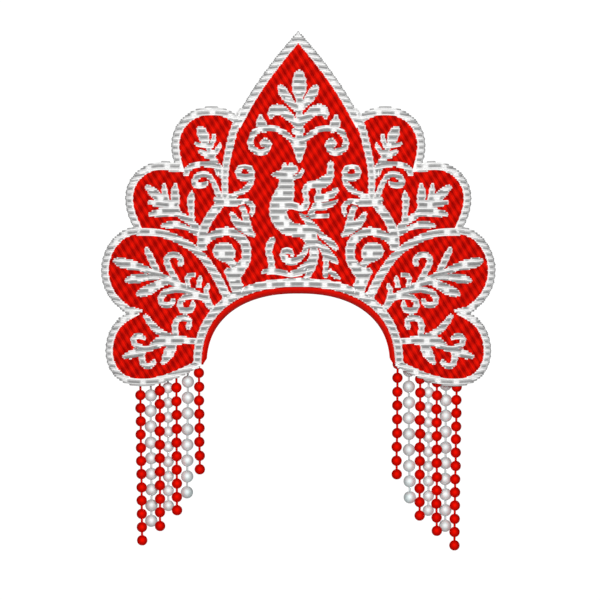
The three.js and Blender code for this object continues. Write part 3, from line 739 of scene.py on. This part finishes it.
def flowing_rows():
    """Height of each white thread over x: a level row moved by the flow's shift there, again and again until
    it settles. Also where rows are sound, neither unsettled nor broken by a jump, their lean and spacing."""
    count = int(FIELD_SHAPE[0] * CELL / WHITE_PITCH)
    number = np.arange(count) + int((FIELD_LOW[1] - ROW_LEVEL) / WHITE_PITCH)
    level = ROW_LEVEL + WHITE_PITCH * number[:, None]
    x = FIELD_LOW[0] + CELL * np.arange(FIELD_SHAPE[1] - 1)
    z = np.repeat(level, len(x), 1)
    for _ in range(SETTLING):
        target = level + np.angle(read_field(flow, x[None, :], z)) * ROW / (2 * np.pi)
        z += SETTLE_STEP * (target - z)
    jump = np.abs(np.diff(z, axis=1)) > STEEPEST_ROW * CELL
    sound = np.abs(target - z) < SETTLED
    sound[:, 1:] &= ~jump
    sound[:, :-1] &= ~jump
    lean = np.arctan(np.gradient(z, CELL, axis=1))
    spacing = np.clip(np.gradient(z, axis=0) * np.cos(lean), *SPACING)
    return number, x, z, sound, lean, spacing


flow = np.zeros(FIELD_SHAPE, complex)
middle_run = np.column_stack([inset(edge, edge_width / 2), edge_width])
tip_to_foot = middle_run[: len(half_edge) - 2]
crown_to_foot = middle_run[len(half_edge) + ARCH_STEPS // 2 - 1: len(half_edge) - 1: -1]
for stroke in (tip_to_foot, crown_to_foot):
    lay_flow(flow, stroke, "border", in_step=False)
    lay_flow(flow, stroke * (-1, 1, 1), "border", in_step=False)
for stroke in [*both_sides(SPURS), *ribs.values()]:
    lay_flow(flow, stroke, "ribs")
for name, strokes in motifs.items():
    for stroke in strokes:
        lay_flow(flow, stroke, name)
row_number, row_x, row_z, row_sound, row_lean, row_spacing = flowing_rows()
row_set = row_number // ROW_THREADS
stray = chance.uniform(-TIE_SCATTER, TIE_SCATTER, row_set[-1] + ROWS_BELOW)
row_tie = WHITE_REPEAT * (row_set % 2 / 2 + stray[row_set])


def white_threads(shown, height_at, row_painted_shade, face=1, painted_border=False):
    """Rows of white thread where a depth field is above zero, at a height that is a function of x and z.
    Each stretch of a row is sewn down at even steps. It is white there and at its ends, and painted shade
    greys it between, by a straight ramp."""
    depth = np.where(row_sound, read_field(shown, row_x[None, :], row_z), FAR)
    row, start, end = stretches(depth, row_x)
    first, last = (np.clip(((s - row_x[0]) / CELL).astype(int), 1, len(row_x) - 3) for s in (start, end))
    cut_start, cut_end = ~row_sound[row, first], ~row_sound[row, last + 1]
    role = row_number[row] % ROW_THREADS
    out_start, out_end = (np.where(cut, SPLICE, ROW_REACH[role] + chance.normal(0, REACH_SCATTER, len(row)))
                          for cut in (cut_start, cut_end))
    low, high = start - out_start, end + out_end
    first_tie = row_tie[row] + WHITE_REPEAT * np.floor((low + TIE_MARGIN - row_tie[row]) / WHITE_REPEAT)
    steps = np.ceil((high - TIE_MARGIN - first_tie) / WHITE_REPEAT)
    steps = np.maximum(steps, 1).astype(int) * (high - low > WHITE_SHORTEST)
    strand, place = spread_points(steps * (len(DASH) - 1) + (steps > 0))
    row, role, count = row[strand], role[strand], steps[strand]
    step = np.minimum(place // (len(DASH) - 1), count - 1)
    at_start, at_end = step == 0, step == count - 1
    before = np.where(at_start, low[strand], first_tie[strand] + step * WHITE_REPEAT)
    after = np.where(at_end, high[strand], first_tie[strand] + (step + 1) * WHITE_REPEAT)
    share = DASH[place - step * (len(DASH) - 1)]
    x = before + (after - before) * share
    known_x = np.clip(x, (start + CELL * cut_start)[strand], (end - CELL * cut_end)[strand])
    column = np.clip((known_x - row_x[0]) / CELL, 0, len(row_x) - 1.001)
    left = column.astype(int)
    lean = row_lean[row, left]
    z = row_z[row, left] * (1 - column + left) + row_z[row, left + 1] * (column - left)
    z += np.tan(lean) * (x - known_x)
    # Each thread stays white at its ends and where it is sewn down, and painted shade greys it between.
    white_before = np.where(at_start, np.where(cut_start[strand], FAR, WHITE_END), WHITE_GAP)
    white_after = np.where(at_end, np.where(cut_end[strand], FAR, WHITE_END), WHITE_GAP)
    into_painted_shade = np.minimum(x - before - white_before, after - x - white_after)
    painted_shade = np.clip(into_painted_shade / PAINTED_SHADE_RUN, 0, 1)
    # Painted shade: at its greyest each thread takes its role's tone, the darker roles standing for the
    # shade of a rounded row.
    light = row_painted_shade[role]
    # The border's tones are lighter, painted light for its bent sides, but along the arch it takes the
    # motif's tones.
    if painted_border:
        light = np.where(along_arch(x, z), ROW_PAINTED_SHADE["motif"][role], light)
    tone = 1 - painted_shade * (1 - light) + chance.normal(0, WHITE_SCATTER, len(low))[strand]
    # Painted shade along the border's outer edge, where the roll turns away from the light, but not along
    # the arch.
    if painted_border:
        rim = (read_field(from_edge, x, z) < PAINTED_RIM_DEPTH) & ~along_arch(x, z)
        tone = np.where(rim, PAINTED_RIM_TONE, tone)
    swell = np.where((place == 0) | at_end & (share == 1), WHITE_POINT, 1.0)
    half_width = (WHITE_OVERLAP * row_spacing[row, left] + WHITE_SPARE) * swell
    height = height_at(x, z) + ROW_LIFT[role]
    return thread_tubes(strand, x, z, lean, height, half_width, WHITE_HALF_HEIGHT * swell, tone, face)


def along_arch(x, z):
    """True close to the arch: inside its superellipse, made a little larger."""
    across, up = np.abs(x) / ARCH["half_width"], np.maximum(z - ARCH["spring"], 0) / ARCH["rise"]
    return across ** ARCH["squareness"] + up ** ARCH["squareness"] < ARCH_REACH


def roll_share(x, z):
    """How far across the border's width a point lies, from 0 at the outer edge to 1 inside."""
    outside, inside = (np.maximum(read_field(field, x, z), 0) for field in (from_edge, border_inner))
    return outside / (outside + inside + 1e-6)


def roll_front(share):
    """Front of the roll across its width: a quarter oval up from the edge, and a lower one down inside."""
    dome = np.sqrt(np.clip(1 - (1 - 2 * share) ** 2, 0, 1))
    return np.where(share < 0.5, ROLL_CROWN * dome, ROLL_FOOT + (ROLL_CROWN - ROLL_FOOT) * dome)


def roll_back(share):
    """Back of the roll: a quarter oval in from the edge, then flat."""
    dome = np.sqrt(np.clip(1 - (1 - 2 * share) ** 2, 0, 1))
    return np.where(share < 0.5, ROLL_BACK * dome, ROLL_BACK)


def mitre_room():
    """How wide the roll can be along the edge: near an outward corner, the run from it times its mitre's
    slope."""
    steps = np.linalg.norm(np.roll(edge, -1, 0) - edge, axis=1)
    run, total = np.cumsum(steps) - steps, steps.sum()
    room = np.full(len(edge), np.inf)
    for corner in (0, len(half_edge) - 1, len(half_edge) + ARCH_STEPS - 1):
        before, after = edge[corner - 1] - edge[corner], edge[(corner + 1) % len(edge)] - edge[corner]
        bend = before @ after / np.linalg.norm(before) / np.linalg.norm(after)
        away = np.abs(run - run[corner])
        room = np.minimum(room, np.minimum(away, total - away) * np.sqrt((1 - bend) / (1 + bend)))
    return room


# Its light colour is the white thread itself; its shade colour is the grey that the stitches' painted shade
# reaches.
white_floss = floss("white_floss", shade=(0.26, 0.26, 0.26), light=(0.95, 0.95, 0.945),
                    roughness=0.5, specular=0.3, tint=(1, 1, 1))
roll_edge = inset(edge, np.full(len(edge), PADDING_EDGE))
roll_inner = inset(edge, np.maximum(np.minimum(edge_width, mitre_room()), PADDING_LEAST))
sweep = (1 - np.cos(np.linspace(0, np.pi, ROLL_SECTION))) / 2
section = roll_edge[:, None] + (roll_inner - roll_edge)[:, None] * sweep[:, None]
roll_face = on_crest(section[..., 0], roll_front(sweep) - PADDING_FRONT, section[..., 1])
roll_rear = on_crest(section[..., 0], PADDING_BACK - roll_back(sweep), section[..., 1])
roll_rings = np.concatenate([roll_face, roll_rear[:, :0:-1]], 1)
roll_rings = np.concatenate([roll_rings, roll_rings[:1]])
roll_quads = grid_faces(*roll_rings.shape[:2], wrap_columns=True)
roll_part = (roll_rings, roll_quads, np.ones(roll_rings[..., 0].size), np.zeros((len(roll_quads), 4, 2)))
border_padding = add_piece("border_padding", white_floss, [roll_part])
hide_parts("border_roll")
front_part = white_threads(border_depth, lambda x, z: roll_front(roll_share(x, z)) - SUNK,
                           ROW_PAINTED_SHADE["border"], painted_border=True)
back_part = white_threads(border_depth, lambda x, z: roll_back(roll_share(x, z)) - SUNK,
                          ROW_PAINTED_SHADE["border"], face=-1, painted_border=True)
for name, part in (("border_stitches_front", front_part), ("border_stitches_back", back_part)):
    add_piece(name, white_floss, [part])


# Ribs
# Four raised ribs of white satin stitch divide the petals. Each is a strip of padding sewn to the ground
# and covered with rows of thread.

SATIN_LEVEL = 1.55               # where a satin stitch dips into the ground, from the middle of the panel
SATIN_RISE = 1.15
ROUNDING = 2.0                   # a shape's edge is rounded over this width
UNDERLAY_HALF = 0.45             # half the padding's width, as a share of the stroke's
UNDERLAY_END = 0.5               # its ends narrow to this share
UNDERLAY_DROP = 0.6              # it lies this far under the stitches
UNDERLAY_FOOT = 0.4              # and its base this far in the ground
UNDERLAY_DOME = 6                # points over its dome, and two at its foot close the ring


def satin_height(depth):
    """Height of a satin stitch's middle: a quarter sine wave up from its edge."""
    return SATIN_LEVEL + SATIN_RISE * np.sin(np.pi / 2 * np.clip(depth / ROUNDING, 0, 1))


def underlay_part(stroke):
    """Padding of one stroke: a dome just below its stitches over a flat base, carried along its path."""
    along = np.gradient(stroke[:, :2], axis=0)
    along /= np.maximum(np.linalg.norm(along, axis=1, keepdims=True), 1e-6)
    half = stroke[:, 2:] * UNDERLAY_HALF
    half[[0, -1]] *= UNDERLAY_END
    spread = half * np.append(np.cos(np.linspace(0, np.pi, UNDERLAY_DOME)), [-1, 1])
    height = satin_height(stroke[:, 2:] / 2 - np.abs(spread)) - UNDERLAY_DROP
    height[:, UNDERLAY_DOME:] = PANEL_HALF - UNDERLAY_FOOT
    x = stroke[:, :1] - along[:, 1:] * spread
    z = stroke[:, 1:2] + along[:, :1] * spread
    quads = tube_faces(*x.shape)
    return on_crest(x, height, z), quads, np.ones(x.size), np.zeros((len(quads), 4, 2))


for (name, side), stroke in ribs.items():
    depth = field_of([stroke])
    threads = white_threads(np.minimum(depth, TUCK - border_depth),
                            lambda x, z: satin_height(read_field(depth, x, z)), ROW_PAINTED_SHADE["ribs"])
    rib = add_piece(f"{name}_{side}_stitches", white_floss, [threads, underlay_part(stroke)])
    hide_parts(f"{name}_{side}")


# Ornament
# Palmette, bird, scrolls and leaf sprays in white satin stitch over a thin underlay of the same thread.
# The stitches lie like the border's, and their ends dip into the red ground.

covered = np.maximum(border_depth, rib_depth)
for name, strokes in motifs.items():
    depth = motif_depth[name]
    threads = white_threads(np.minimum(depth, TUCK - covered),
                            lambda x, z: satin_height(read_field(depth, x, z)), ROW_PAINTED_SHADE["motif"])
    motif = add_piece(f"{name}_stitches", white_floss, [threads, *map(underlay_part, strokes)])
    covered = np.maximum(covered, depth)


# Head band
# A padded band of smooth red satin lines the arch and reaches back over the head. Its section is a strip
# with round edges, deepest over the crown and narrow at each ear, sewn to the arch's border along its front.

HOLLOW = {"half_width": 73.4, "rise": 58, "spring": -58, "squareness": 2.3}
BAND_LAP = 0.2                   # it laps under the arch's border by this much
BAND_FRONT = 1.7                 # its front edge, measured from the middle of the panel
BAND_CROWN_DEPTH = 28
BAND_END_DEPTH = 3.2
BAND_STEPS = 160                 # sections from ear to ear
BAND_SECTION = 40                # points round a section
BAND_TAPER = 0.1                 # sine of the turn over which its ends narrow
BAND_END_SHARE = 0.3             # share of the wall that is left at its ends
BAND_CURL = 4.0                  # its lower front edge curls back by this much


def satin(name, shade, light):
    """Satin: fine floats along the band, by a stretched noise, under a soft sheen."""
    material, tree, shader = new_material(
        name, Roughness=0.5, Specular_IOR_Level=0.15, Specular_Tint=(1, 0.1, 0.06, 1),
        Sheen_Weight=0.08, Sheen_Roughness=0.4, Sheen_Tint=(1, 0.1, 0.06, 1))
    place = add_node(tree, "TexCoord").outputs
    stretched = add_node(tree, "Mapping", {"Vector": place["UV"], "Scale": (30, 900, 1)}).outputs[0]
    floats = clouds(tree, stretched, scale=1, detail=2)
    blend = maths(tree, "ADD", floats, clouds(tree, place["Object"], scale=60, detail=2))
    colour_by(tree, shader, maths(tree, "MULTIPLY", blend, 0.5, clamp=True), shade, light)
    relief(tree, shader, floats, strength=0.25, distance=0.0002)
    return material


red_satin = satin("red_satin", shade=(0.41, 0.0025, 0.001), light=(0.80, 0.007, 0.002))
turn = np.linspace(0, np.pi, BAND_STEPS)
outer, inner = arch_offset(ARCH, turn, BAND_LAP), arch_point(HOLLOW, turn)
inner = outer + (inner - outer) * np.clip(BAND_END_SHARE + np.sin(turn) / BAND_TAPER, 0, 1)[:, None]
depth = BAND_END_DEPTH + (BAND_CROWN_DEPTH - BAND_END_DEPTH) * np.sin(turn) ** 2
round_turn = 2 * np.pi * (np.arange(BAND_SECTION) + 0.5) / BAND_SECTION
half_wall = np.linalg.norm(outer - inner, axis=1)[:, None] / 2
straight = np.maximum(depth[:, None] - 2 * half_wall, 0)
section = (outer + inner)[:, None] / 2 + ((inner - outer) / 2)[:, None] * np.cos(round_turn)[:, None]
curl = BAND_CURL * ((1 + np.cos(round_turn)) / 2) ** 2 * (np.sin(round_turn) < 0)
set_back = half_wall * (1 + np.sin(round_turn)) + straight * (np.sin(round_turn) > 0) + curl
band_rings = on_crest(section[..., 0], BAND_FRONT - set_back, section[..., 1])
band_quads = tube_faces(BAND_STEPS, BAND_SECTION)[:, ::-1]
step, station = np.divmod(np.arange((BAND_STEPS - 1) * BAND_SECTION), BAND_SECTION)
band_uv = np.stack([np.stack([step + 1, step + 1, step, step], -1) / BAND_STEPS,
                    np.stack([station, station + 1, station + 1, station], -1) / BAND_SECTION], -1)
band_uv = np.concatenate([band_uv, np.zeros((len(band_quads) - len(band_uv), 4, 2))])
band = add_piece("band_satin", red_satin, [(band_rings, band_quads, None, band_uv)])
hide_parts("head_band")


# Bead strings
# Seven strings hang at each temple: drilled red beads and pearls by turns, threaded on red and grey cotton.
# Each thread ends in its last bead's hole, and its top is sewn flat to the panel's back.

BEAD_SIDES = 24
BEAD_RINGS = 11                  # points from rim to rim of the hole
HOLE_ROOM = 0.2                  # the hole's rim is this much wider than the thread
HOLE_WALL = 0.8                  # its wall's share of the rim's radius, and of the bead's height
COTTON_SIDES = 8
COTTON_TIP = 0.3                 # the thread narrows to this at its sewn end
COTTON_TONE = {"red": 0.8, "large_pearl": 0.6, "small_pearl": 0.6}
SEAM_RISE = 7                    # the seam starts this far above the crest's lower edge
SEAM_RUN = 4                     # and at least this far above the top bead
SEAM_LENGTH = 5
SEAT = 0.3                       # threads lie this far off the panel's back
BEAD_TONE = 0.94                 # how light the beads are, from 0 to 1
TONE_SCATTER = 0.04
STRAY_ACROSS = 0.1               # beads stray this much sideways
STRAY_UP = 0.12                  # and this much up and down

# Kinds of bead: diameter, how far behind the front row it hangs, and the thread's radius.
BEADS = {"red": (8.5, 0, 0.9), "large_pearl": (10, 7.8, 0.8), "small_pearl": (9, 7.8, 0.8)}

# Strings of one side from the outside in: x, kind, pitch, count, lowest bead, and how far the string
# leans towards the middle for each millimetre down.
STRINGS = (
    (126.5, "red", 10.62, 12, -198.4, 0.015),
    (118.7, "large_pearl", 12.66, 9, -183.2, 0.007),
    (111.3, "red", 10.86, 11, -186.6, 0.002),
    (104.8, "small_pearl", 11.88, 9, -170.7, 0.002),
    (97.7, "red", 10.96, 10, -174.3, 0.004),
    (89.2, "large_pearl", 12.74, 8, -159.9, -0.008),
    (79.4, "red", 11.06, 8, -141.1, 0.010),
)

# The right strings start one bead higher, behind the border, and hang a little lower.
SIDES = {"left": (-1, 0, 0), "right": (1, 1, 4)}


def along_y(distance, x):
    """A distance square to the bent crest, lengthened to one along Y."""
    return distance * np.hypot(1, x / np.sqrt(BOW_RADIUS**2 - x**2))


def lower_edge(x):
    """Lowest height of the crest's edge at x."""
    after = np.roll(edge, -1, 0)
    spans = (edge[:, 0] - x) * (after[:, 0] - x) <= 0
    return edge[spans, 1].min()


def bead_part(centres, radius, hole, tones):
    """Drilled beads: a circle's arc from rim to rim of the hole, and its wall, turned round the axis."""
    rim = np.arcsin(hole / radius)
    polar = np.linspace(rim, np.pi - rim, BEAD_RINGS)
    out = np.append(radius * np.sin(polar), [hole * HOLE_WALL, hole * HOLE_WALL])
    up = np.append(radius * np.cos(polar), [-radius * HOLE_WALL, radius * HOLE_WALL])
    spin = 2 * np.pi * np.arange(BEAD_SIDES) / BEAD_SIDES
    ring = np.stack(np.broadcast_arrays(out * np.cos(spin)[:, None], out * np.sin(spin)[:, None], up), -1)
    ring = np.concatenate([ring, ring[:1]])
    points = centres[:, None, None] + ring
    quads = grid_faces(BEAD_SIDES + 1, len(out), wrap_columns=True)
    quads = (quads + ring[..., 0].size * np.arange(len(centres))[:, None, None]).reshape(-1, 4)
    return points, quads, np.repeat(tones, ring[..., 0].size), np.zeros((len(quads), 4, 2))


def cotton_part(path, radii, tone):
    """A thread: a level circle carried along a path that runs up, and capped at both ends."""
    spin = 2 * np.pi * np.arange(COTTON_SIDES) / COTTON_SIDES
    ring = np.stack([np.cos(spin), np.sin(spin), np.zeros(COTTON_SIDES)], -1)
    points = path[:, None] + ring * radii[:, None, None]
    quads = tube_faces(len(path), COTTON_SIDES)
    return points, quads, np.full(points[..., 0].size, tone), np.zeros((len(quads), 4, 2))


def bead_gloss(name, shade, light):
    """Pearlised bead: its own tone and a faint cloudiness vary the colour under a broad, soft shine."""
    material, tree, shader = new_material(
        name, Metallic=0.9, Roughness=0.77, Specular_IOR_Level=0.4, Specular_Tint=(*light, 1))
    tone = add_node(tree, "Attribute", attribute_name="tone").outputs["Fac"]
    cloud = clouds(tree, add_node(tree, "TexCoord").outputs["Object"], scale=260, detail=3)
    blend = maths(tree, "MULTIPLY_ADD", cloud, 0.3, tone)
    colour_by(tree, shader, maths(tree, "SUBTRACT", blend, 0.15, clamp=True), shade, light)
    relief(tree, shader, cloud, strength=0.06, distance=0.0003)
    return material


red_bead = bead_gloss("red_bead", shade=(0.25, 0.001, 0.0005), light=(0.83, 0.0068, 0.001))
pearl = bead_gloss("pearl_bead", shade=(0.34, 0.375, 0.375), light=(0.82, 0.90, 0.90))
for side, (sign, extra_beads, drop) in SIDES.items():
    for i, (x, kind, pitch, count, lowest, lean) in enumerate(STRINGS):
        diameter, row, cotton = BEADS[kind]
        radius, beads, bottom = diameter / 2, count + extra_beads, lowest - drop
        back = bow(x) + along_y(PANEL_HALF + SEAT, x)
        hang, seam = back + along_y(radius, x) + row, back + along_y(cotton, x)
        top = bottom + (beads - 1) * pitch
        seam_foot = max(lower_edge(x) + SEAM_RISE, top + radius + SEAM_RUN)
        z = bottom + pitch * np.arange(beads) + chance.normal(0, STRAY_UP, beads)
        middle = (bottom + top) / 2
        hang_x = sign * (x - lean * (middle - z)) + chance.normal(0, STRAY_ACROSS, beads)
        centres = np.stack([hang_x, np.full(beads, hang), z], -1)
        tones = np.clip(BEAD_TONE + chance.normal(0, TONE_SCATTER, beads), 0, 1)
        tail = centres[0] - [0, 0, radius - SEAT]
        sewn = np.array([[hang_x[-1], seam, seam_foot], [hang_x[-1], seam, seam_foot + SEAM_LENGTH]])
        path = np.vstack([tail, centres, centres[-1] + [0, 0, radius], sewn])
        radii = np.full(len(path), cotton)
        radii[-1] = COTTON_TIP
        string = add_piece(f"beads_{side}_{i + 1}", red_bead if kind == "red" else pearl,
                           [bead_part(centres, radius, cotton + HOLE_ROOM, tones),
                            cotton_part(path, radii, COTTON_TONE[kind])])
        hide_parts(f"bead_string_{side}_{i + 1}")


# Studio
# A pale floor below the hanging strings, a soft light near the camera's line and one behind the crest, and
# a camera square to the front, far off with a long lens, so that the picture's 600 squares span 480 mm.

FLOOR_HEIGHT = -0.3
FLOOR_RADIUS = 0.9               # its far edge stays just below the picture
FLOOR_SIDES = 64
CAMERA_DISTANCE = 4.0
PICTURE_SQUARES = 600
PICTURE_WIDTH = PICTURE_SQUARES * SQUARE * MM
SENSOR = 36
LIGHT_AIM = (0, 0, 0.05)

scene = bpy.context.scene
scene.view_settings.view_transform = "Standard"
spin = 2 * np.pi * np.arange(FLOOR_SIDES) / FLOOR_SIDES
circle = np.stack([np.cos(spin), np.sin(spin), np.zeros(FLOOR_SIDES)], -1)
disc = circle * FLOOR_RADIUS + [0, 0, FLOOR_HEIGHT]
floor_mesh = bpy.data.meshes.new("floor")
floor_mesh.from_pydata(disc.tolist(), [], [list(range(FLOOR_SIDES))])
floor = bpy.data.objects.new("floor", floor_mesh)
floor_material, tree, shader = new_material("pale_floor", Roughness=0.9, Specular_IOR_Level=0.0)
shader.inputs["Emission Color"].default_value = (0.45, 0.45, 0.45, 1)
tree.links.new(add_node(tree, "LightPath").outputs["Is Camera Ray"], shader.inputs["Emission Strength"])
grain = clouds(tree, add_node(tree, "TexCoord").outputs["Object"], scale=22, detail=2)
colour_by(tree, shader, grain, shade=(0.60, 0.60, 0.60), light=(0.64, 0.64, 0.64))
floor_mesh.materials.append(floor_material)
scene.collection.objects.link(floor)

world = bpy.data.worlds.new("studio")
world.use_nodes = True
scene.world = world
tree = world.node_tree
surround = tree.nodes["Background"]
surround.inputs["Color"].default_value = (1, 1, 1, 1)
surround.inputs["Strength"].default_value = 0.05
backdrop = add_node(tree, "Background", {"Color": (1, 1, 1, 1), "Strength": 1.05})
seen = add_node(tree, "LightPath").outputs["Is Camera Ray"]
mixed = add_node(tree, "MixShader", {0: seen, 1: surround.outputs[0], 2: backdrop.outputs[0]})
tree.links.new(mixed.outputs[0], tree.nodes["World Output"].inputs["Surface"])


def add_light(name, place, size, power):
    """A square soft light that faces the crest's middle."""
    light = bpy.data.lights.new(name, "AREA")
    light.size, light.energy = size, power
    lamp = bpy.data.objects.new(name, light)
    lamp.location = place
    towards = Vector(LIGHT_AIM) - lamp.location
    lamp.rotation_euler = towards.to_track_quat("-Z", "Y").to_euler()
    scene.collection.objects.link(lamp)


add_light("key", (0, -2.7, 0.35), size=0.7, power=79)
add_light("rear", (0, 2.6, 0.4), size=1.2, power=38)

camera = bpy.data.cameras.new("camera")
camera.sensor_width = SENSOR
camera.lens = SENSOR * CAMERA_DISTANCE / PICTURE_WIDTH
viewer = bpy.data.objects.new("camera", camera)
picture_middle = (PICTURE_SQUARES / 2 - CROWN_SQUARE) * (SQUARE * MM, -SQUARE * MM)
viewer.location = (picture_middle[0], -CAMERA_DISTANCE, picture_middle[1])
viewer.rotation_euler = (np.pi / 2, 0, 0)
scene.collection.objects.link(viewer)
scene.camera = viewer
